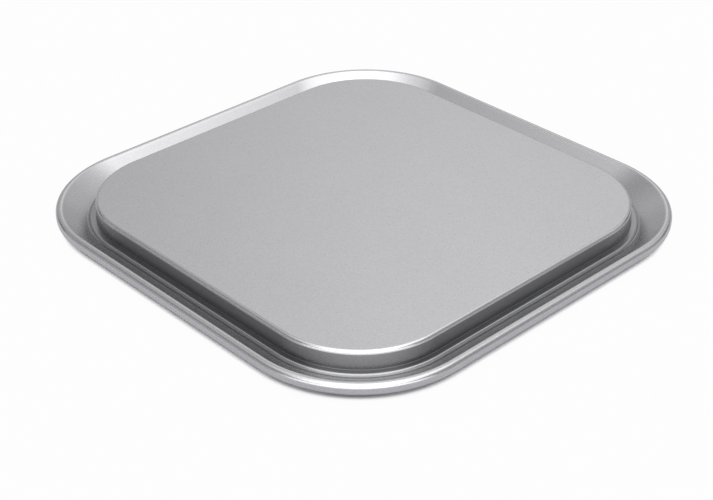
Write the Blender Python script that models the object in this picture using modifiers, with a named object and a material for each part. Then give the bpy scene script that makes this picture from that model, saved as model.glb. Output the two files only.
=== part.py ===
"""Base plate of a square springform pan: one pressed sheet, its rim rolled round a wire.

The sheet's top surface is a section that runs outward from the platform: a rounded edge,
a wall, a ledge for the pan's ring, a gutter that the plate stands on, a sloping flange and
a rolled bead, which is taller than it is wide. The bead is squarer at its corners than the
platform, so the flange is wider there. Z = 0 is the gutter's underside and the plate is
centred on the origin.
"""

import math

import bmesh
import bpy
from mathutils import Vector

# Platform and wall, in metres. Offsets run outward from the line where the wall meets the top.
PLATFORM_SIDE = 0.230
PLATFORM_CORNER_RADIUS = 0.050
PLATFORM_EDGE_RADIUS = 0.0020
WALL_DRAFT = 0.0003
WALL_FOOT_RADIUS = 0.0002

# Ledge that the pan's ring stands on, and the gutter outside it.
LEDGE_DEPTH = 0.0102
LEDGE_WIDTH = 0.0037
LEDGE_EDGE_RADIUS = 0.0012
STEP_RUN = 0.0004
GUTTER_DROP = 0.0012
GUTTER_WIDTH = 0.0010
GUTTER_INNER_RADIUS = 0.0002
GUTTER_OUTER_RADIUS = 0.0008

# Rim: the line that the roll turns round at its top, and how far below it the wire lies.
RIM_OFFSET = 0.0167
RIM_CORNER_RADIUS = 0.0618
RIM_DEPTH = 0.00595
BEAD_DROP = 0.0012
WIRE_RADIUS = 0.0013
WIRE_CLEARANCE = 0.0003
CURL_CLEARANCE = 0.0004

SHEET = 0.0010

# Facets.
CORNER_STEPS = 12
FILLET_STEPS = 3
EDGE_STEPS = 4
OVER_STEPS = 7
UNDER_STEPS = 10
WIRE_RESOLUTION = 3
MERGE_DISTANCE = 0.00002

# Sizes that follow from the ones above.
HALF_SIDE = PLATFORM_SIDE / 2
PLATFORM_CORNER_CENTRE = HALF_SIDE - PLATFORM_CORNER_RADIUS
RIM_HALF_SIDE = HALF_SIDE + RIM_OFFSET
RIM_CORNER_CENTRE = RIM_HALF_SIDE - RIM_CORNER_RADIUS
GUTTER_DEPTH = LEDGE_DEPTH + GUTTER_DROP
PLATFORM_HEIGHT = GUTTER_DEPTH + SHEET
BEAD_RADIUS = WIRE_RADIUS + WIRE_CLEARANCE + SHEET
RIM_HEIGHT = PLATFORM_HEIGHT - RIM_DEPTH
WIRE_HEIGHT = RIM_HEIGHT - BEAD_DROP

SATIN_SILVER = (0.60, 0.60, 0.62, 1.0)
WIRE_GREY = (0.42, 0.42, 0.43, 1.0)


def clear_scene():
    for item in list(bpy.data.objects):
        bpy.data.objects.remove(item, do_unlink=True)


def metal(name, colour, roughness):
    material = bpy.data.materials.new(name)
    material.use_nodes = True
    shader = material.node_tree.nodes["Principled BSDF"]
    shader.inputs["Base Color"].default_value = colour
    shader.inputs["Metallic"].default_value = 1.0
    shader.inputs["Roughness"].default_value = roughness
    return material


def fillet(before, corner, after, radius, steps):
    """Points of the arc that rounds a corner between two straight runs."""
    back = (before - corner).normalized()
    ahead = (after - corner).normalized()
    half_angle = back.angle(ahead) / 2
    start = corner + back * radius / math.tan(half_angle)
    centre = corner + (back + ahead).normalized() * radius / math.sin(half_angle)
    spoke = start - centre
    turn = math.pi - 2 * half_angle
    if back.cross(ahead) < 0:
        turn = -turn
    points = []
    for step in range(steps + 1):
        angle = -turn * step / steps
        cosine, sine = math.cos(angle), math.sin(angle)
        turned = Vector((cosine * spoke.x - sine * spoke.y, sine * spoke.x + cosine * spoke.y))
        points.append(centre + turned)
    return points


def bead_arc(centre, start, end, steps):
    """Points round a centre of the bead, from one angle to another, clockwise from the top."""
    points = []
    for step in range(steps + 1):
        angle = start + (end - start) * step / steps
        points.append(centre + Vector((math.sin(angle), math.cos(angle))) * BEAD_RADIUS)
    return points


def section(rim_offset):
    """The sheet's top surface as (offset, height) points, from the platform to the curl."""
    top = PLATFORM_HEIGHT
    ledge = top - LEDGE_DEPTH
    floor = top - GUTTER_DEPTH
    gutter_start = LEDGE_WIDTH + STEP_RUN
    platform = Vector((-HALF_SIDE, top))
    edge = Vector((0.0, top))
    foot = Vector((WALL_DRAFT, ledge))
    ledge_edge = Vector((LEDGE_WIDTH, ledge))
    gutter_inner = Vector((gutter_start, floor))
    gutter_outer = Vector((gutter_start + GUTTER_WIDTH, floor))
    bead = Vector((rim_offset, RIM_HEIGHT))

    reach = bead - gutter_outer
    slope = math.atan2(reach.y, reach.x) + math.asin(BEAD_RADIUS / reach.length)
    crest = bead + Vector((-math.sin(slope), math.cos(slope))) * BEAD_RADIUS

    points = fillet(platform, edge, foot, PLATFORM_EDGE_RADIUS, EDGE_STEPS)
    points += fillet(edge, foot, ledge_edge, WALL_FOOT_RADIUS, FILLET_STEPS)
    points += fillet(foot, ledge_edge, gutter_inner, LEDGE_EDGE_RADIUS, FILLET_STEPS)
    points += fillet(ledge_edge, gutter_inner, gutter_outer, GUTTER_INNER_RADIUS, FILLET_STEPS)
    points += fillet(gutter_inner, gutter_outer, crest, GUTTER_OUTER_RADIUS, FILLET_STEPS)

    # The roll goes over the top, down the outside and back underneath. It stops short of
    # the flange's underside, so it stays open there.
    wire = Vector((rim_offset, WIRE_HEIGHT))
    hollow = BEAD_RADIUS - SHEET - CURL_CLEARANCE
    tuck = math.acos((hollow + BEAD_DROP * math.cos(slope)) / BEAD_RADIUS)
    points += bead_arc(bead, -slope, math.pi / 2, OVER_STEPS)
    points += bead_arc(wire, math.pi / 2, 2 * math.pi - slope - tuck, UNDER_STEPS)
    return points


def rim_offset_from(point, outward):
    """Distance from a point of the wall's line, along its normal, to the rim's line."""
    if outward.x > 0:
        reach = (RIM_HALF_SIDE - point.x) / outward.x
        if point.y + reach * outward.y <= RIM_CORNER_CENTRE:
            return reach
    if outward.y > 0:
        reach = (RIM_HALF_SIDE - point.y) / outward.y
        if point.x + reach * outward.x <= RIM_CORNER_CENTRE:
            return reach
    away = Vector((RIM_CORNER_CENTRE, RIM_CORNER_CENTRE)) - point
    along = away.dot(outward)
    return along + math.sqrt(along ** 2 - away.length_squared + RIM_CORNER_RADIUS ** 2)


def quarter_stations():
    """Points and outward normals of the wall's line, from the X axis round to the Y axis."""
    stations = [(Vector((HALF_SIDE, 0.0)), Vector((1.0, 0.0)))]
    centre = Vector((PLATFORM_CORNER_CENTRE, PLATFORM_CORNER_CENTRE))
    for step in range(CORNER_STEPS + 1):
        angle = math.pi / 2 * step / CORNER_STEPS
        outward = Vector((math.cos(angle), math.sin(angle)))
        stations.append((centre + outward * PLATFORM_CORNER_RADIUS, outward))
    stations.append((Vector((0.0, HALF_SIDE)), Vector((0.0, 1.0))))
    return stations


def add_mirror(item):
    mirror = item.modifiers.new("Four quarters", "MIRROR")
    mirror.use_axis = (True, True, False)
    mirror.merge_threshold = MERGE_DISTANCE


def add_object(name, mesh, material, collection):
    item = bpy.data.objects.new(name, mesh)
    item.data.materials.append(material)
    collection.objects.link(item)
    return item


def extrude_chain(build, chain, places):
    """Extrude a chain of vertices once and move the new chain to the given places."""
    edges = [build.edges.get(pair) for pair in zip(chain, chain[1:])]
    made = bmesh.ops.extrude_edge_only(build, edges=edges)["geom"]
    fresh = {vertex for vertex in made if isinstance(vertex, bmesh.types.BMVert)}
    following = []
    for vertex in chain:
        partner = next(e.other_vert(vertex) for e in vertex.link_edges if e.other_vert(vertex) in fresh)
        following.append(partner)
    for vertex, place in zip(following, places):
        vertex.co = place
    return following


def base_sheet(collection):
    """The pressed sheet: a quarter drawn outward section by section, mirrored and thickened."""
    rings = []
    for point, outward in quarter_stations():
        profile = section(rim_offset_from(point, outward))
        line = [(point.x + p.x * outward.x, point.y + p.x * outward.y, p.y) for p in profile]
        rings.append(line)
    places = list(zip(*rings))

    build = bmesh.new()
    chain = [build.verts.new(place) for place in places[0]]
    middle = build.verts.new((0.0, 0.0, PLATFORM_HEIGHT))
    build.faces.new([middle] + chain)
    for ring in places[1:]:
        chain = extrude_chain(build, chain, ring)
    bmesh.ops.recalc_face_normals(build, faces=build.faces)
    platform = max(build.faces, key=lambda face: face.calc_area())
    if platform.normal.z < 0:
        bmesh.ops.reverse_faces(build, faces=build.faces)

    mesh = bpy.data.meshes.new("base_sheet")
    build.to_mesh(mesh)
    build.free()
    item = add_object("base_sheet", mesh, metal("satin_silver", SATIN_SILVER, 0.35), collection)
    add_mirror(item)
    thickness = item.modifiers.new("Sheet", "SOLIDIFY")
    thickness.thickness = SHEET
    thickness.offset = -1.0
    thickness.use_even_offset = True
    return item


def rim_wire(collection):
    """The closed hoop of round wire that the rim is rolled over."""
    quarter = []
    for point, outward in quarter_stations():
        quarter.append(point + outward * rim_offset_from(point, outward))
    line = []
    for turn in range(4):
        cosine, sine = round(math.cos(turn * math.pi / 2)), round(math.sin(turn * math.pi / 2))
        for spot in quarter[1:]:
            line.append((cosine * spot.x - sine * spot.y, sine * spot.x + cosine * spot.y, WIRE_HEIGHT))

    hoop = bpy.data.curves.new("rim_wire", "CURVE")
    hoop.dimensions = "3D"
    hoop.bevel_depth = WIRE_RADIUS
    hoop.bevel_resolution = WIRE_RESOLUTION
    hoop.use_fill_caps = True
    spline = hoop.splines.new("POLY")
    spline.points.add(len(line) - 1)
    for control, spot in zip(spline.points, line):
        control.co = (*spot, 1.0)
    spline.use_cyclic_u = True
    return add_object("rim_wire", hoop, metal("wire_steel", WIRE_GREY, 0.45), collection)


def main():
    clear_scene()
    collection = bpy.data.collections.new("square_springform_base")
    bpy.context.scene.collection.children.link(collection)
    sheet = base_sheet(collection)
    sheet.data.shade_smooth()
    rim_wire(collection)


main()
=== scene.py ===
"""Looks of the base plate of a square springform pan.

The plate is one pressed aluminium sheet whose rim is rolled over a steel wire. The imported
model gives the solids; this script makes the smooth sheet and the round wire that stand for
them, their satin finishes, and a white studio with the camera at the photograph's angle.
Lengths are in metres and Z = 0 is the surface that the plate stands on.
"""

from __future__ import annotations

import logging
import math
from collections.abc import Callable
from dataclasses import dataclass
from enum import Enum

import bpy
from bpy.types import Material, Mesh, Node, NodeSocket, NodeTree, Object
from mathutils import Euler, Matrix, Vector


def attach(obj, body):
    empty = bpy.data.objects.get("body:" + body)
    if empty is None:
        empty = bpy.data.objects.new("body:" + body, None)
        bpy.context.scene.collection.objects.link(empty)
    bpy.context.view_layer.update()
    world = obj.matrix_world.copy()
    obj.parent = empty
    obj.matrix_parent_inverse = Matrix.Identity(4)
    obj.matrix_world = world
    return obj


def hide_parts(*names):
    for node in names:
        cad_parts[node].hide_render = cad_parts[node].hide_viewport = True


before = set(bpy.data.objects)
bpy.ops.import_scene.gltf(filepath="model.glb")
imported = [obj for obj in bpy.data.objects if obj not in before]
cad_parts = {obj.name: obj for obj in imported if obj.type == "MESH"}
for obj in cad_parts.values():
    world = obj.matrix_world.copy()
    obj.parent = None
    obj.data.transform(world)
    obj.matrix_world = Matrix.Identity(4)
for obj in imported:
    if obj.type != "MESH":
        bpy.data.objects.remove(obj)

LOG = logging.getLogger("springform_base")
MERGE_DISTANCE = 0.000002
SAME_PLACE = 0.00002
SUPPORTS_THAT_FIT = 3
RELIEF_DISTANCE = 0.0001
DRAWN_STRETCH = (0.08, 0.08, 1.0)
HALF_TURN = 180.0


class CadNode(Enum):
    """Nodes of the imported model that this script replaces."""

    SHEET = "base_sheet"
    WIRE = "rim_wire"


class Slot(Enum):
    """Material slots of the record."""

    SHEET = "satin_silver"
    WIRE = "wire_steel"


class Grain(Enum):
    """How the fine grain of a finish lies on the metal."""

    SPECKLED = "speckled"
    DRAWN = "drawn"


@dataclass(frozen=True)
class Bend:
    """A corner of the sheet's section, and the radius that rounds it."""

    offset: float
    height: float
    radius: float = 0.0
    steps: int = 0

    def place(self) -> Vector:
        """The corner as an (offset, height) vector."""
        return Vector((self.offset, self.height))


@dataclass(frozen=True)
class SheetSizes:
    """Driving sizes of the pressed sheet, the same as those of the solid it stands for."""

    platform_side: float = 0.230
    platform_corner_radius: float = 0.050
    platform_edge_radius: float = 0.0020
    wall_draft: float = 0.0003
    wall_foot_radius: float = 0.0002
    ledge_depth: float = 0.0102
    ledge_width: float = 0.0037
    ledge_edge_radius: float = 0.0012
    step_run: float = 0.0004
    gutter_drop: float = 0.0012
    gutter_width: float = 0.0010
    gutter_inner_radius: float = 0.0002
    gutter_outer_radius: float = 0.0008
    rim_offset: float = 0.0167
    rim_corner_radius: float = 0.0618
    rim_depth: float = 0.00595
    bead_drop: float = 0.0012
    wire_radius: float = 0.0013
    wire_clearance: float = 0.0003
    curl_clearance: float = 0.0004
    sheet: float = 0.0010

    @property
    def half_side(self) -> float:
        """Half the platform's side, to the line where its wall meets its top."""
        return self.platform_side / 2

    @property
    def platform_centre(self) -> float:
        """Both coordinates of the centre of the platform's corner."""
        return self.half_side - self.platform_corner_radius

    @property
    def rim_half_side(self) -> float:
        """Half the side of the square that the wire's centre follows."""
        return self.half_side + self.rim_offset

    @property
    def rim_centre(self) -> float:
        """Both coordinates of the centre of the rim's corner."""
        return self.rim_half_side - self.rim_corner_radius

    @property
    def seat_width(self) -> float:
        """Width of the ledge, the step and the gutter together."""
        return self.ledge_width + self.step_run + self.gutter_width

    @property
    def top(self) -> float:
        """Height of the platform's top."""
        return self.ledge_depth + self.gutter_drop + self.sheet

    @property
    def bead_height(self) -> float:
        """Height of the centre that the roll turns round at its top."""
        return self.top - self.rim_depth

    @property
    def wire_height(self) -> float:
        """Height of the wire's centre, which is the roll's lower centre."""
        return self.bead_height - self.bead_drop

    @property
    def bead_radius(self) -> float:
        """Outer radius of the rolled bead."""
        return self.wire_radius + self.wire_clearance + self.sheet


@dataclass(frozen=True)
class MeshSteps:
    """Facets of the smooth pieces."""

    corner: int = 36
    edge: int = 12
    foot: int = 6
    ledge_edge: int = 12
    gutter: int = 6
    bead_over: int = 24
    bead_under: int = 36
    flange_cuts: int = 9
    wire_sides: int = 32


class Workbench:
    """Operator calls that the pieces share."""

    @staticmethod
    def clear_selection() -> None:
        """Leave edit mode and deselect everything."""
        if bpy.context.object and bpy.context.object.mode != "OBJECT":
            bpy.ops.object.mode_set(mode="OBJECT")
        bpy.ops.object.select_all(action="DESELECT")

    @staticmethod
    def make_active(item: Object) -> None:
        """Select one object and make it the active one.

        Args:
            item: The object to work on.
        """
        Workbench.clear_selection()
        item.select_set(True)
        bpy.context.view_layer.objects.active = item

    @staticmethod
    def select_vertices(item: Object, wanted: Callable[[Vector], bool]) -> None:
        """Select, in edit mode, the vertices that a test accepts, with their edges.

        Args:
            item: The object in edit mode.
            wanted: Function that takes a position and says whether its vertex is wanted.
        """
        bpy.ops.mesh.select_mode(type="VERT")
        bpy.ops.mesh.select_all(action="DESELECT")
        bpy.ops.object.mode_set(mode="OBJECT")
        for vertex in item.data.vertices:
            vertex.select = wanted(vertex.co)
        bpy.ops.object.mode_set(mode="EDIT")

    @staticmethod
    def extrude(offset: Vector) -> None:
        """Extrude what is selected by an offset.

        Args:
            offset: How far and which way the new ring moves.
        """
        bpy.ops.mesh.extrude_region_move(TRANSFORM_OT_translate={"value": tuple(offset)})

    @staticmethod
    def sweep_quarter(item: Object, centre: float, steps: int, lead: float) -> None:
        """Sweep a section round one corner and along half of each side beside it.

        Args:
            item: The object in edit mode, which holds the section at the corner's start.
            centre: Both coordinates of the corner's centre.
            steps: Facets of the corner.
            lead: Length of the narrow facet where a straight side starts.
        """
        bpy.ops.mesh.select_all(action="SELECT")
        bpy.ops.mesh.spin(
            steps=steps, angle=-math.pi / 2, center=(centre, centre, 0.0), axis=(0.0, 0.0, 1.0)
        )
        for axis, along in enumerate((Vector((1.0, 0.0, 0.0)), Vector((0.0, 1.0, 0.0)))):
            Workbench.select_vertices(
                item, lambda spot, a=axis: abs(spot[a] - centre) < SAME_PLACE and spot[1 - a] > centre
            )
            Workbench.extrude(-along * lead)
            Workbench.extrude(-along * (centre - lead))

    @staticmethod
    def face_out() -> None:
        """Turn the faces of the object in edit mode outward, and leave edit mode."""
        bpy.ops.mesh.select_all(action="SELECT")
        bpy.ops.mesh.normals_make_consistent(inside=False)
        bpy.ops.object.mode_set(mode="OBJECT")

    @staticmethod
    def join(pieces: list[Object], name: str) -> Object:
        """Join objects into the first one.

        Args:
            pieces: The objects to join.
            name: Name of the joined object and of its mesh.

        Returns:
            The joined object.
        """
        Workbench.clear_selection()
        for piece in pieces:
            piece.select_set(True)
        bpy.context.view_layer.objects.active = pieces[0]
        bpy.ops.object.join()
        pieces[0].name = name
        pieces[0].data.name = name
        return pieces[0]

    @staticmethod
    def mirror_quarter(item: Object) -> None:
        """Complete a quarter across the X = 0 and Y = 0 planes.

        Args:
            item: A quarter that is open at both planes.
        """
        mirror = item.modifiers.new("Four quarters", "MIRROR")
        mirror.use_axis = (True, True, False)
        mirror.merge_threshold = SAME_PLACE
        bpy.ops.object.modifier_apply(modifier=mirror.name)


class SectionPen:
    """Draws a section as a chain of vertices in the XZ plane at a given Y."""

    def __init__(self, name: str, start: Vector, y: float) -> None:
        """Put down the first vertex.

        Args:
            name: Name of the new object.
            start: First point, as (x, z).
            y: The plane's place along Y.
        """
        Workbench.clear_selection()
        place = (start.x, y, start.y)
        bpy.ops.mesh.primitive_plane_add(size=MERGE_DISTANCE, location=place)
        self.item = bpy.context.object
        self.item.name = name
        bpy.ops.object.transform_apply(location=True, rotation=True, scale=True)
        bpy.ops.object.mode_set(mode="EDIT")
        bpy.ops.mesh.select_all(action="SELECT")
        bpy.ops.mesh.merge(type="CENTER")
        self.y = y
        self.point = start.copy()

    def line_to(self, target: Vector, support: float = 0.0) -> None:
        """Draw a straight run, with a narrow facet at each end that keeps its shading flat.

        Args:
            target: End of the run, as (x, z).
            support: Width of the narrow facets, or 0 for none.
        """
        run = target - self.point
        stops = [target]
        if support and run.length > SUPPORTS_THAT_FIT * support:
            inset = run.normalized() * support
            stops = [self.point + inset, target - inset, target]
        for stop in stops:
            step = stop - self.point
            bpy.ops.mesh.extrude_vertices_move(TRANSFORM_OT_translate={"value": (step.x, 0.0, step.y)})
            self.point = stop.copy()

    def arc(self, centre: Vector, turn: float, steps: int) -> None:
        """Draw a round run by spinning the last vertex.

        Args:
            centre: Centre of the arc, as (x, z).
            turn: Angle in radians, positive from X towards Z.
            steps: Facets of the arc.
        """
        bpy.ops.mesh.spin(
            steps=steps, angle=turn, center=(centre.x, self.y, centre.y), axis=(0.0, 1.0, 0.0)
        )
        spoke = self.point - centre
        cosine, sine = math.cos(turn), math.sin(turn)
        self.point = centre + Vector((cosine * spoke.x - sine * spoke.y, sine * spoke.x + cosine * spoke.y))

    def rounded_run(self, bends: list[Bend], support: float) -> None:
        """Draw through a list of bends, each with its radius.

        Args:
            bends: The section's corners; the last one is only a direction to end on.
            support: Width of the narrow facets beside each arc.
        """
        for here, after in zip(bends, bends[1:]):
            corner = here.place()
            back = (self.point - corner).normalized()
            ahead = (after.place() - corner).normalized()
            half_angle = back.angle(ahead) / 2
            self.line_to(corner + back * here.radius / math.tan(half_angle), support)
            centre = corner + (back + ahead).normalized() * here.radius / math.sin(half_angle)
            turn = math.pi - 2 * half_angle
            if back.cross(ahead) > 0:
                turn = -turn
            self.arc(centre, turn, here.steps)

    def sweep_quarter(self, centre: float, steps: int, lead: float) -> Object:
        """Sweep the section round one corner and along half of each side beside it.

        Args:
            centre: Both coordinates of the corner's centre.
            steps: Facets of the corner.
            lead: Length of the narrow facet where a straight side starts.

        Returns:
            The swept object.
        """
        Workbench.sweep_quarter(self.item, centre, steps, lead)
        bpy.ops.object.mode_set(mode="OBJECT")
        return self.item


@dataclass
class PressedSheet:
    """The pressed sheet: platform, wall, ledge, gutter, flange and rolled bead."""

    sizes: SheetSizes
    steps: MeshSteps
    support: float = 0.00012
    lead: float = 0.0015
    platform_margin: float = 0.0010
    platform_rings: tuple[float, ...] = (0.8, 0.6, 0.4, 0.2)
    bend_full: float = math.radians(9)
    smooth_angle: float = math.radians(40)
    # Shares of painted shade in the recess between platform and flange: on the wall, which is lighter
    # towards its top, the ledge, the ledge's edge and the gutter.
    painted_shade_top_loss: float = 0.2
    painted_shade_ledge: float = 0.6
    painted_shade_ledge_edge: float = 0.55
    painted_shade_gutter: float = 0.8
    name: str = "pressed_sheet"

    def inner_bends(self) -> list[Bend]:
        """The section from the platform's edge to the foot of the flange.

        Returns:
            Bends in order outward; the last one lies on the bead and gives the flange's way.
        """
        s, n = self.sizes, self.steps
        ledge = s.top - s.ledge_depth
        floor = ledge - s.gutter_drop
        start = s.half_side
        step_foot = start + s.ledge_width + s.step_run
        flange = self.flange_end()
        return [
            Bend(start, s.top, s.platform_edge_radius, n.edge),
            Bend(start + s.wall_draft, ledge, s.wall_foot_radius, n.foot),
            Bend(start + s.ledge_width, ledge, s.ledge_edge_radius, n.ledge_edge),
            Bend(step_foot, floor, s.gutter_inner_radius, n.gutter),
            Bend(step_foot + s.gutter_width, floor, s.gutter_outer_radius, n.gutter),
            Bend(flange.x, flange.y),
        ]

    def flange_slope(self) -> float:
        """Angle of the flange above the table, on a straight side, in radians."""
        s = self.sizes
        foot = Vector((s.half_side + s.seat_width, s.sheet))
        reach = Vector((s.rim_half_side, s.bead_height)) - foot
        return math.atan2(reach.y, reach.x) + math.asin(s.bead_radius / reach.length)

    def flange_end(self) -> Vector:
        """Point of a side's section where the flange meets the bead."""
        s = self.sizes
        slope = self.flange_slope()
        crest = Vector((-math.sin(slope), math.cos(slope))) * s.bead_radius
        return Vector((s.rim_half_side, s.bead_height)) + crest

    def inner_ring(self) -> Object:
        """The platform's edge, the wall, the ledge and the gutter, for one quarter."""
        s = self.sizes
        start = Vector((s.half_side - s.platform_edge_radius - self.platform_margin, s.top))
        pen = SectionPen("inner_ring", start, s.platform_centre)
        pen.rounded_run(self.inner_bends(), self.support)
        return pen.sweep_quarter(s.platform_centre, self.steps.corner, self.lead)

    def bead_ring(self) -> Object:
        """The rolled bead, for one quarter: over the top, down the outside and back underneath."""
        s, slope = self.sizes, self.flange_slope()
        over = math.pi / 2 + slope
        hollow = s.bead_radius - s.sheet - s.curl_clearance
        tuck = math.acos((hollow + s.bead_drop * math.cos(slope)) / s.bead_radius)
        under = 2 * math.pi - tuck - over
        pen = SectionPen("bead_ring", self.flange_end(), s.rim_centre)
        pen.arc(Vector((s.rim_half_side, s.bead_height)), -over, self.steps.bead_over)
        pen.line_to(pen.point - Vector((0.0, s.bead_drop)), self.support)
        pen.arc(Vector((s.rim_half_side, s.wire_height)), -under, self.steps.bead_under)
        return pen.sweep_quarter(s.rim_centre, self.steps.corner, self.lead)

    @staticmethod
    def boundary_test(centre: float, reach: float, height: float) -> Callable[[Vector], bool]:
        """Make a test for the chain of vertices at one offset of a quarter.

        Args:
            centre: Both coordinates of the corner's centre.
            reach: Radius of the chain at the corner.
            height: Height of the chain.

        Returns:
            A function that says whether a position is on the chain.
        """

        def on_chain(spot: Vector) -> bool:
            if abs(spot.z - height) > SAME_PLACE:
                return False
            along_x, along_y = max(spot.x - centre, 0.0), max(spot.y - centre, 0.0)
            return abs(math.hypot(along_x, along_y) - reach) < SAME_PLACE

        return on_chain

    def bridge_flange(self, item: Object) -> None:
        """Join the gutter to the bead with the flange.

        Args:
            item: The object that holds both rings.
        """
        s = self.sizes
        foot, bend = self.inner_bends()[-2], self.flange_slope() / 2
        tangent = s.gutter_outer_radius * math.tan(bend)
        slope = self.flange_slope()
        start = foot.place() + Vector((math.cos(slope), math.sin(slope))) * tangent
        end = self.flange_end()
        low = self.boundary_test(s.platform_centre, start.x - s.platform_centre, start.y)
        high = self.boundary_test(s.rim_centre, end.x - s.rim_centre, end.y)
        Workbench.make_active(item)
        bpy.ops.object.mode_set(mode="EDIT")
        Workbench.select_vertices(item, lambda spot: low(spot) or high(spot))
        bpy.ops.mesh.select_mode(type="EDGE")
        bpy.ops.mesh.bridge_edge_loops(number_cuts=self.steps.flange_cuts, interpolation="LINEAR")

    def fill_platform(self, item: Object) -> None:
        """Close the platform's top with rings that shrink to its centre.

        Args:
            item: The object in edit mode.
        """
        s = self.sizes
        reach = s.half_side - s.platform_edge_radius - self.platform_margin - s.platform_centre
        Workbench.select_vertices(item, self.boundary_test(s.platform_centre, reach, s.top))
        scale_so_far = 1.0
        for scale in (*self.platform_rings, 0.0):
            bpy.ops.mesh.extrude_region_move()
            ratio = scale / scale_so_far
            bpy.ops.transform.resize(value=(ratio, ratio, 1.0), center_override=(0.0, 0.0, s.top))
            scale_so_far = scale or 1.0
        bpy.ops.mesh.select_all(action="SELECT")
        bpy.ops.mesh.remove_doubles(threshold=MERGE_DISTANCE)
        bpy.ops.mesh.normals_make_consistent(inside=False)

    @staticmethod
    def face_up(item: Object) -> None:
        """Turn the sheet's faces over if the platform faces down.

        Args:
            item: The open sheet, in object mode.
        """
        platform = max(item.data.polygons, key=lambda face: face.area)
        if platform.normal.z < 0:
            bpy.ops.object.mode_set(mode="EDIT")
            bpy.ops.mesh.select_all(action="SELECT")
            bpy.ops.mesh.flip_normals()
            bpy.ops.object.mode_set(mode="OBJECT")

    def mark_bends(self, mesh: Mesh) -> None:
        """Store how sharply the sheet is bent at each vertex, for the finish to read.

        Args:
            mesh: The finished mesh.
        """
        normals = [face.normal.copy() for face in mesh.polygons]
        sides: dict[tuple[int, int], list[int]] = {}
        for face in mesh.polygons:
            for key in face.edge_keys:
                sides.setdefault(key, []).append(face.index)
        sharpest = [0.0] * len(mesh.vertices)
        for (first, second), faces in sides.items():
            if len(faces) == 2:
                angle = normals[faces[0]].angle(normals[faces[1]], 0.0)
                for index in (first, second):
                    sharpest[index] = max(sharpest[index], angle)
        bend = mesh.attributes.new("bend", "FLOAT", "POINT")
        bend.data.foreach_set("value", [min(angle / self.bend_full, 1.0) for angle in sharpest])

    def painted_shade_at(self, spot: Vector) -> float:
        """How much painted shade darkens the sheet at a place: the wall, the ledge and the gutter.

        Args:
            spot: A place on the sheet.

        Returns:
            0 for no painted shade up to 1 for the most painted shade.
        """
        s = self.sizes
        ledge, edge = s.top - s.ledge_depth, s.top - s.platform_edge_radius
        along_x = max(abs(spot.x) - s.platform_centre, 0.0)
        along_y = max(abs(spot.y) - s.platform_centre, 0.0)
        offset = math.hypot(along_x, along_y) - s.platform_corner_radius
        # Painted shade on the wall, darkest at its foot and lighter towards its top.
        if ledge < spot.z < edge + SAME_PLACE and abs(offset) < 2 * s.wall_draft:
            return 1.0 - self.painted_shade_top_loss * (spot.z - ledge) / (edge - ledge)
        if spot.z > ledge + SAME_PLACE or not 0.0 < offset < s.seat_width:
            return 0.0
        if spot.z < ledge - s.gutter_drop + s.gutter_inner_radius / 2:
            return self.painted_shade_gutter
        return self.painted_shade_ledge_edge if offset > s.ledge_width - s.ledge_edge_radius else self.painted_shade_ledge

    def mark_painted_shade(self, mesh: Mesh) -> None:
        """Store the painted shade of the wall, ledge and gutter at each vertex, for the finish to read.

        Args:
            mesh: The finished mesh.
        """
        shade_values = mesh.attributes.new("painted_shade", "FLOAT", "POINT")
        shade_values.data.foreach_set("value", [self.painted_shade_at(vertex.co) for vertex in mesh.vertices])

    def build(self) -> Object:
        """Make the finished sheet.

        Returns:
            The sheet as one closed mesh.
        """
        item = Workbench.join([self.inner_ring(), self.bead_ring()], self.name)
        self.bridge_flange(item)
        self.fill_platform(item)
        bpy.ops.object.mode_set(mode="OBJECT")
        self.face_up(item)
        Workbench.make_active(item)
        Workbench.mirror_quarter(item)
        solid = item.modifiers.new("Sheet", "SOLIDIFY")
        solid.thickness = self.sizes.sheet
        solid.offset = -1.0
        solid.use_even_offset = True
        bpy.ops.object.modifier_apply(modifier=solid.name)
        bpy.ops.object.shade_smooth_by_angle(angle=self.smooth_angle)
        self.mark_bends(item.data)
        self.mark_painted_shade(item.data)
        return item


@dataclass
class RimWire:
    """The round steel wire that the rim is rolled over."""

    sizes: SheetSizes
    steps: MeshSteps
    lead: float = 0.0015
    name: str = "rim_hoop"

    def build(self) -> Object:
        """Make the closed hoop.

        Returns:
            The hoop as one closed mesh.
        """
        s = self.sizes
        Workbench.clear_selection()
        bpy.ops.mesh.primitive_circle_add(
            vertices=self.steps.wire_sides,
            radius=s.wire_radius,
            location=(s.rim_half_side, s.rim_centre, s.wire_height),
            rotation=(math.pi / 2, 0.0, 0.0),
        )
        item = bpy.context.object
        item.name = self.name
        item.data.name = self.name
        bpy.ops.object.transform_apply(location=True, rotation=True, scale=True)
        bpy.ops.object.mode_set(mode="EDIT")
        Workbench.sweep_quarter(item, s.rim_centre, self.steps.corner, self.lead)
        Workbench.face_out()
        Workbench.make_active(item)
        Workbench.mirror_quarter(item)
        bpy.ops.object.mode_set(mode="EDIT")
        Workbench.face_out()
        bpy.ops.object.shade_smooth()
        return item


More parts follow.
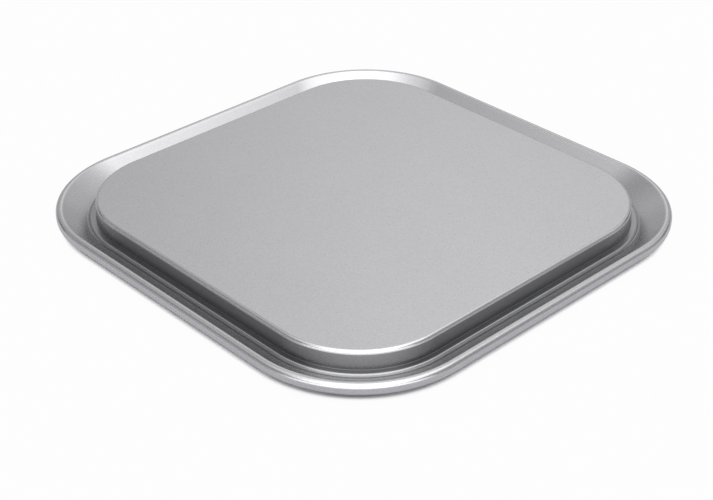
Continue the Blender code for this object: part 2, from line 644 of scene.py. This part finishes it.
class Nodes:
    """Small helpers that add nodes to a tree."""

    def __init__(self, tree: NodeTree) -> None:
        """Keep the tree.

        Args:
            tree: The tree that the nodes go into.
        """
        self.tree = tree

    def add(self, kind: str, **settings) -> Node:
        """Add a node and set its properties.

        Args:
            kind: The node's type name.
            settings: Properties of the node.

        Returns:
            The new node.
        """
        node = self.tree.nodes.new(kind)
        for key, value in settings.items():
            setattr(node, key, value)
        return node

    def feed(self, socket: NodeSocket, value: NodeSocket | float) -> None:
        """Link a socket, or set its value.

        Args:
            socket: An input socket.
            value: An output socket, or a number.
        """
        if isinstance(value, bpy.types.NodeSocket):
            self.tree.links.new(value, socket)
        else:
            socket.default_value = value

    def math(
        self,
        operation: str,
        first: NodeSocket | float,
        second: NodeSocket | float = 0.0,
        clamp: bool = False,
    ) -> NodeSocket:
        """Add a Math node.

        Args:
            operation: Name of the operation.
            first: First operand, a socket or a number.
            second: Second operand, a socket or a number.
            clamp: Whether the result is kept between 0 and 1.

        Returns:
            The result's socket.
        """
        node = self.add("ShaderNodeMath", operation=operation, use_clamp=clamp)
        self.feed(node.inputs[0], first)
        self.feed(node.inputs[1], second)
        return node.outputs[0]

    def noise(
        self, vector: NodeSocket, scale: NodeSocket | float, detail: float, roughness: float
    ) -> NodeSocket:
        """Add a noise texture.

        Args:
            vector: Coordinates.
            scale: Size of the pattern.
            detail: Number of finer layers.
            roughness: Weight of the finer layers.

        Returns:
            The noise value's socket.
        """
        node = self.add("ShaderNodeTexNoise")
        self.feed(node.inputs["Vector"], vector)
        self.feed(node.inputs["Scale"], scale)
        self.feed(node.inputs["Detail"], detail)
        self.feed(node.inputs["Roughness"], roughness)
        return node.outputs[0]


class MetalGrain:
    """Node group that the metal finishes share: fine grain, soft mottling, rubbed bends and painted shade
    in the sheet's recesses.
    """

    NAME = "Metal grain"
    FINE_DETAIL = 2.0
    FINE_ROUGHNESS = 0.6
    BROAD_SCALE = 34.0
    BROAD_DETAIL = 3.0
    BROAD_ROUGHNESS = 0.55
    NOISE_MEAN = 0.5
    RUB_BASE = 0.3
    RUB_POLISH = 0.05
    _made: NodeTree | None = None

    @classmethod
    def tree(cls) -> NodeTree:
        """Build the group the first time it is asked for.

        Returns:
            The node group.
        """
        if cls._made is None:
            cls._made = cls._build()
        return cls._made

    @classmethod
    def _build(cls) -> NodeTree:
        """Make the group's sockets and nodes.

        Returns:
            The new node group.
        """
        tree = bpy.data.node_groups.new(cls.NAME, "ShaderNodeTree")
        face = tree.interface
        face.new_socket("Vector", in_out="INPUT", socket_type="NodeSocketVector")
        inputs = {
            "Colour": ("NodeSocketColor", (0.6, 0.6, 0.62, 1.0)),
            "Rubbed Colour": ("NodeSocketColor", (0.7, 0.7, 0.71, 1.0)),
            "Bend": ("NodeSocketFloat", 0.0),
            "Painted Shade": ("NodeSocketFloat", 0.0),
            "Painted Shade Depth": ("NodeSocketFloat", 0.5),
            "Grain Scale": ("NodeSocketFloat", 2000.0),
            "Grain Contrast": ("NodeSocketFloat", 0.05),
            "Mottling": ("NodeSocketFloat", 0.03),
            "Roughness": ("NodeSocketFloat", 0.25),
            "Roughness Spread": ("NodeSocketFloat", 0.05),
        }
        for name, (kind, value) in inputs.items():
            face.new_socket(name, in_out="INPUT", socket_type=kind).default_value = value
        face.new_socket("Colour", in_out="OUTPUT", socket_type="NodeSocketColor")
        face.new_socket("Roughness", in_out="OUTPUT", socket_type="NodeSocketFloat")
        face.new_socket("Height", in_out="OUTPUT", socket_type="NodeSocketFloat")

        nodes = Nodes(tree)
        given = nodes.add("NodeGroupInput").outputs
        result = nodes.add("NodeGroupOutput").inputs
        fine = nodes.noise(given["Vector"], given["Grain Scale"], cls.FINE_DETAIL, cls.FINE_ROUGHNESS)
        broad = nodes.noise(given["Vector"], cls.BROAD_SCALE, cls.BROAD_DETAIL, cls.BROAD_ROUGHNESS)
        speck = nodes.math("SUBTRACT", fine, cls.NOISE_MEAN)
        grain = nodes.math("MULTIPLY", speck, given["Grain Contrast"])
        cloud = nodes.math("MULTIPLY", nodes.math("SUBTRACT", broad, cls.NOISE_MEAN), given["Mottling"])
        level = nodes.math("ADD", nodes.math("ADD", grain, cloud), 1.0)
        # Painted shade: the recess value, scaled by its depth, darkens the colour of the wall, ledge and
        # gutter.
        fade = nodes.math("MULTIPLY", given["Painted Shade"], given["Painted Shade Depth"])
        level = nodes.math("MULTIPLY", level, nodes.math("SUBTRACT", 1.0, fade))

        rubbed = nodes.math("MULTIPLY", given["Bend"], nodes.math("ADD", broad, cls.RUB_BASE), clamp=True)
        # Sockets 0, 6 and 7 of a colour mix are its factor and its two colours.
        mix = nodes.add("ShaderNodeMix", data_type="RGBA")
        nodes.feed(mix.inputs[0], rubbed)
        nodes.feed(mix.inputs[6], given["Colour"])
        nodes.feed(mix.inputs[7], given["Rubbed Colour"])
        shade = nodes.add("ShaderNodeVectorMath", operation="SCALE")
        nodes.feed(shade.inputs[0], mix.outputs[2])
        nodes.feed(shade.inputs["Scale"], level)
        nodes.feed(result["Colour"], shade.outputs[0])

        spread = nodes.math("MULTIPLY", speck, given["Roughness Spread"])
        polish = nodes.math("MULTIPLY", rubbed, cls.RUB_POLISH)
        rough = nodes.math("SUBTRACT", nodes.math("ADD", given["Roughness"], spread), polish, clamp=True)
        nodes.feed(result["Roughness"], rough)
        nodes.feed(result["Height"], fine)
        return tree


@dataclass(frozen=True)
class MetalFinish:
    """A bare metal finish, dressed with the shared grain group."""

    name: str
    grain: Grain
    colour: tuple[float, float, float]
    rubbed: tuple[float, float, float]
    grain_scale: float
    grain_contrast: float
    mottling: float
    roughness: float
    roughness_spread: float
    relief: float
    # Share by which painted shade darkens the colour in a pressed sheet's wall, ledge and gutter.
    painted_shade_depth: float = 0.0
    is_pressed: bool = False

    def material(self) -> Material:
        """Build the finish.

        Returns:
            The new material.
        """
        material = bpy.data.materials.new(self.name)
        material.use_nodes = True
        nodes = Nodes(material.node_tree)
        shader = material.node_tree.nodes["Principled BSDF"]
        shader.inputs["Metallic"].default_value = 1.0

        place = nodes.add("ShaderNodeTexCoord").outputs["Object"]
        mapping = nodes.add("ShaderNodeMapping")
        nodes.feed(mapping.inputs["Vector"], place)
        if self.grain is Grain.DRAWN:
            mapping.inputs["Scale"].default_value = DRAWN_STRETCH
        group = nodes.add("ShaderNodeGroup")
        group.node_tree = MetalGrain.tree()
        nodes.feed(group.inputs["Vector"], mapping.outputs[0])
        values = {
            "Colour": (*self.colour, 1.0),
            "Rubbed Colour": (*self.rubbed, 1.0),
            "Grain Scale": self.grain_scale,
            "Grain Contrast": self.grain_contrast,
            "Mottling": self.mottling,
            "Roughness": self.roughness,
            "Roughness Spread": self.roughness_spread,
            "Painted Shade Depth": self.painted_shade_depth,
        }
        for socket, value in values.items():
            group.inputs[socket].default_value = value
        if self.is_pressed:
            # The rubbed bends and the painted shade of the recess come from the sheet's stored attributes.
            for socket, stored in (("Bend", "bend"), ("Painted Shade", "painted_shade")):
                mark = nodes.add("ShaderNodeAttribute", attribute_name=stored)
                nodes.feed(group.inputs[socket], mark.outputs["Fac"])
        bump = nodes.add("ShaderNodeBump")
        bump.inputs["Strength"].default_value = self.relief
        bump.inputs["Distance"].default_value = RELIEF_DISTANCE
        nodes.feed(bump.inputs["Height"], group.outputs["Height"])
        nodes.feed(shader.inputs["Base Color"], group.outputs["Colour"])
        nodes.feed(shader.inputs["Roughness"], group.outputs["Roughness"])
        nodes.feed(shader.inputs["Normal"], bump.outputs["Normal"])
        return material


SATIN_SILVER = MetalFinish(
    name="satin_silver",
    grain=Grain.SPECKLED,
    colour=(0.60, 0.60, 0.615),
    rubbed=(0.66, 0.66, 0.67),
    grain_scale=1500.0,
    grain_contrast=0.4,
    mottling=0.05,
    roughness=0.28,
    roughness_spread=0.03,
    relief=0.02,
    # Painted shade darkens the colour by up to this share in the wall, ledge and gutter.
    painted_shade_depth=0.68,
    is_pressed=True,
)

WIRE_STEEL = MetalFinish(
    name="wire_steel",
    grain=Grain.DRAWN,
    colour=(0.42, 0.42, 0.43),
    rubbed=(0.5, 0.5, 0.5),
    grain_scale=3000.0,
    grain_contrast=0.3,
    mottling=0.1,
    roughness=0.38,
    roughness_spread=0.1,
    relief=0.2,
)


@dataclass(frozen=True)
class SoftPanel:
    """A soft-edged light in the studio's dome, as wide and as tall as its spans."""

    name: str
    azimuth: float
    elevation: float
    width: float
    height: float
    softness: float
    strength: float

    def middle(self) -> Vector:
        """Azimuth and elevation of the middle in degrees; azimuth 0 is +X and 90 is +Y."""
        return Vector((self.azimuth, self.elevation, 0.0))


PANELS = (
    SoftPanel("overhead", 0.0, 68.0, 360.0, 42.0, 5.0, 1.0),
    SoftPanel("overhead_right", -34.0, 65.0, 90.0, 25.0, 4.0, 1.7),
    SoftPanel("overhead_front", -134.0, 62.0, 120.0, 50.0, 10.0, 2.2),
    SoftPanel("zenith", 0.0, 90.0, 360.0, 34.0, 8.0, 2.0),
    SoftPanel("back_wall", 46.0, 35.0, 80.0, 42.0, 10.0, 0.6),
    SoftPanel("back_panel", 40.0, 38.0, 25.0, 26.0, 10.0, 1.0),
    SoftPanel("back_left_high", 81.0, 51.0, 40.0, 18.0, 7.0, 0.5),
    SoftPanel("left_back", 96.0, 27.0, 36.0, 20.0, 6.0, 0.5),
    SoftPanel("left_high", 127.0, 45.0, 44.0, 18.0, 4.0, 0.55),
    SoftPanel("right_back", -14.0, 34.0, 50.0, 30.0, 5.0, 0.72),
    SoftPanel("right_high", -55.0, 44.0, 24.0, 14.0, 4.0, 0.8),
    SoftPanel("front_middle", -134.0, 32.0, 80.0, 22.0, 6.0, 1.5),
    SoftPanel("front_low", -134.0, 10.0, 120.0, 20.0, 4.0, 2.1),
    SoftPanel("left_low", 141.0, 15.0, 60.0, 24.0, 3.0, 0.5),
    SoftPanel("right_low", -49.0, 15.0, 60.0, 24.0, 3.0, 0.45),
    SoftPanel("back_low", 46.0, 8.0, 100.0, 14.0, 4.0, 0.5),
)
DOME_LEVEL = 0.08


@dataclass
class Studio:
    """White studio: the floor, the dome of light and the camera."""

    camera_azimuth: float = 43.66
    camera_elevation: float = 32.06
    camera_distance: float = 0.80961
    camera_slide: tuple[float, float] = (-0.00350, -0.02945)
    lens: float = 77.04
    sensor: float = 36.0
    near_clip: float = 0.01
    floor_side: float = 8.0
    floor_gap: float = 0.0002
    floor_albedo: tuple[float, float, float] = (0.52, 0.52, 0.55)
    floor_glow: float = 0.96
    floor_glow_mirrored: float = 0.15
    contact_reach: float = 0.009
    contact_dark: float = 0.28
    contact_clear: float = 0.48
    contact_samples: int = 16
    panels: tuple[SoftPanel, ...] = PANELS
    dome_level: float = DOME_LEVEL

    def add_camera(self, target_height: float) -> None:
        """Put the camera where the photograph was taken from.

        Args:
            target_height: Height of the platform's top, which the camera's angles refer to.
        """
        turn = Euler((math.radians(90.0 - self.camera_elevation), 0.0, -math.radians(self.camera_azimuth)))
        axes = turn.to_matrix()
        right, up, back = axes.col[0], axes.col[1], axes.col[2]
        slide_right, slide_up = self.camera_slide
        place = back * self.camera_distance + right * slide_right + up * slide_up
        place.z += target_height
        bpy.ops.object.camera_add(location=place, rotation=turn)
        camera = bpy.context.object
        camera.name = "photo_camera"
        camera.data.sensor_width = self.sensor
        camera.data.lens = self.lens
        camera.data.clip_start = self.near_clip
        bpy.context.scene.camera = camera

    def add_floor(self) -> None:
        """Make the white floor, which shows the plate's shadow."""
        Workbench.clear_selection()
        bpy.ops.mesh.primitive_plane_add(size=self.floor_side, location=(0.0, 0.0, -self.floor_gap))
        floor = bpy.context.object
        floor.name = "studio_floor"
        floor.data.materials.append(self.floor_material())

    def floor_material(self) -> Material:
        """A matt white that also glows for the eye and for reflections, clear from below.

        Returns:
            The floor's material.
        """
        material = bpy.data.materials.new("studio_floor")
        material.use_nodes = True
        tree = material.node_tree
        tree.nodes.clear()
        nodes = Nodes(tree)
        matt = nodes.add("ShaderNodeBsdfDiffuse")
        matt.inputs["Color"].default_value = (*self.floor_albedo, 1.0)
        glow = nodes.add("ShaderNodeEmission")
        glow.inputs["Strength"].default_value = 1.0
        path = nodes.add("ShaderNodeLightPath").outputs
        mirrored = nodes.math("MAXIMUM", path["Is Glossy Ray"], path["Is Transmission Ray"])
        mirrored = nodes.math("MULTIPLY", mirrored, self.floor_glow_mirrored)
        seen = nodes.math("MULTIPLY", path["Is Camera Ray"], self.floor_glow)
        seen = nodes.math("MAXIMUM", seen, mirrored)
        nearby = nodes.add("ShaderNodeAmbientOcclusion", samples=self.contact_samples)
        nearby.inputs["Distance"].default_value = self.contact_reach
        open_sky = nodes.add("ShaderNodeMapRange", interpolation_type="SMOOTHSTEP")
        nodes.feed(open_sky.inputs["Value"], nearby.outputs["AO"])
        open_sky.inputs["From Min"].default_value = self.contact_dark
        open_sky.inputs["From Max"].default_value = self.contact_clear
        share = nodes.math("MULTIPLY", seen, open_sky.outputs["Result"])
        lit = nodes.add("ShaderNodeMixShader")
        nodes.feed(lit.inputs[0], share)
        nodes.feed(lit.inputs[1], matt.outputs[0])
        nodes.feed(lit.inputs[2], glow.outputs[0])
        clear = nodes.add("ShaderNodeBsdfTransparent")
        under = nodes.add("ShaderNodeNewGeometry").outputs["Backfacing"]
        both = nodes.add("ShaderNodeMixShader")
        nodes.feed(both.inputs[0], under)
        nodes.feed(both.inputs[1], lit.outputs[0])
        nodes.feed(both.inputs[2], clear.outputs[0])
        output = nodes.add("ShaderNodeOutputMaterial")
        nodes.feed(output.inputs["Surface"], both.outputs[0])
        return material

    @staticmethod
    def edge_ramp(nodes: Nodes, distance: NodeSocket, span: NodeSocket, soft: NodeSocket) -> NodeSocket:
        """Add the ramp that fades a panel across its edge.

        Args:
            nodes: The tree's helper.
            distance: Distance from the panel's middle, in degrees.
            span: Full width or height of the panel, in degrees.
            soft: Width of the fade on either side of the edge, in degrees.

        Returns:
            1 inside the panel and 0 outside it.
        """
        half = nodes.math("MULTIPLY", span, 0.5)
        ramp = nodes.add("ShaderNodeMapRange", interpolation_type="SMOOTHSTEP")
        nodes.feed(ramp.inputs["Value"], distance)
        nodes.feed(ramp.inputs["From Min"], nodes.math("ADD", half, soft))
        nodes.feed(ramp.inputs["From Max"], nodes.math("SUBTRACT", half, soft))
        return ramp.outputs["Result"]

    def panel_group(self) -> NodeTree:
        """Node group that lays one soft panel over the light so far, for a direction of the sky.

        Returns:
            The node group.
        """
        tree = bpy.data.node_groups.new("Soft panel", "ShaderNodeTree")
        face = tree.interface
        face.new_socket("Azimuth", in_out="INPUT", socket_type="NodeSocketFloat")
        face.new_socket("Elevation", in_out="INPUT", socket_type="NodeSocketFloat")
        face.new_socket("Middle", in_out="INPUT", socket_type="NodeSocketVector")
        for name in ("Width", "Height", "Softness", "Strength", "Before"):
            face.new_socket(name, in_out="INPUT", socket_type="NodeSocketFloat")
        face.new_socket("Light", in_out="OUTPUT", socket_type="NodeSocketFloat")
        nodes = Nodes(tree)
        given = nodes.add("NodeGroupInput").outputs
        result = nodes.add("NodeGroupOutput").inputs
        middle = nodes.add("ShaderNodeSeparateXYZ")
        nodes.feed(middle.inputs[0], given["Middle"])
        turn = nodes.math("SUBTRACT", given["Azimuth"], middle.outputs[0])
        turn = nodes.math("WRAP", turn, HALF_TURN)
        turn.node.inputs[2].default_value = -HALF_TURN
        across = self.edge_ramp(nodes, nodes.math("ABSOLUTE", turn), given["Width"], given["Softness"])
        rise = nodes.math("ABSOLUTE", nodes.math("SUBTRACT", given["Elevation"], middle.outputs[1]))
        upward = self.edge_ramp(nodes, rise, given["Height"], given["Softness"])
        inside = nodes.math("MULTIPLY", across, upward)
        change = nodes.math("SUBTRACT", given["Strength"], given["Before"])
        light = nodes.math("ADD", nodes.math("MULTIPLY", change, inside), given["Before"])
        nodes.feed(result["Light"], light)
        return tree

    def light_dome(self) -> None:
        """Light the scene with the dome's panels, on a background that is white to the eye."""
        world = bpy.data.worlds.new("studio_dome")
        bpy.context.scene.world = world
        world.use_nodes = True
        tree = world.node_tree
        tree.nodes.clear()
        nodes = Nodes(tree)
        way = nodes.add("ShaderNodeSeparateXYZ")
        nodes.feed(way.inputs[0], nodes.add("ShaderNodeTexCoord").outputs["Generated"])
        azimuth = nodes.math("ARCTAN2", way.outputs[1], way.outputs[0])
        azimuth = nodes.math("DEGREES", azimuth)
        elevation = nodes.math("DEGREES", nodes.math("ARCSINE", way.outputs[2]))
        group = self.panel_group()
        total = self.dome_level
        for panel in self.panels:
            node = nodes.add("ShaderNodeGroup", label=panel.name)
            node.node_tree = group
            nodes.feed(node.inputs["Azimuth"], azimuth)
            nodes.feed(node.inputs["Elevation"], elevation)
            node.inputs["Middle"].default_value = panel.middle()
            node.inputs["Width"].default_value = panel.width
            node.inputs["Height"].default_value = panel.height
            node.inputs["Softness"].default_value = panel.softness
            node.inputs["Strength"].default_value = panel.strength
            nodes.feed(node.inputs["Before"], total)
            total = node.outputs[0]
        light = nodes.add("ShaderNodeBackground")
        white = nodes.add("ShaderNodeBackground")
        for background in (light, white):
            background.inputs["Color"].default_value = (1.0, 1.0, 1.0, 1.0)
        nodes.feed(light.inputs["Strength"], total)
        path = nodes.add("ShaderNodeLightPath").outputs
        shown = nodes.add("ShaderNodeMixShader")
        nodes.feed(shown.inputs[0], path["Is Camera Ray"])
        nodes.feed(shown.inputs[1], light.outputs[0])
        nodes.feed(shown.inputs[2], white.outputs[0])
        output = nodes.add("ShaderNodeOutputWorld")
        nodes.feed(output.inputs["Surface"], shown.outputs[0])

    def build(self, target_height: float) -> None:
        """Make the camera, the floor and the light.

        Args:
            target_height: Height of the platform's top.
        """
        self.add_camera(target_height)
        self.add_floor()
        self.light_dome()
        bpy.context.scene.view_settings.view_transform = "Standard"


def fit_piece(piece: Object, finish: MetalFinish, node: CadNode) -> None:
    """Dress a piece and put it in its solid's place.

    Args:
        piece: The finished mesh object.
        finish: The metal finish that it wears.
        node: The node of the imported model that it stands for.
    """
    piece.data.materials.clear()
    piece.data.materials.append(finish.material())
    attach(piece, "root")
    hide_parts(node.value)
    LOG.info("%s: %d faces, stands for %s", piece.name, len(piece.data.polygons), node.value)


def main() -> None:
    """Build the plate and the studio."""
    logging.basicConfig(level=logging.INFO, format="%(name)s: %(message)s")
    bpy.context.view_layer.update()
    sizes = SheetSizes()
    steps = MeshSteps()
    fit_piece(PressedSheet(sizes, steps).build(), SATIN_SILVER, CadNode.SHEET)
    fit_piece(RimWire(sizes, steps).build(), WIRE_STEEL, CadNode.WIRE)
    Studio().build(sizes.top)


if __name__ == "__main__":
    main()
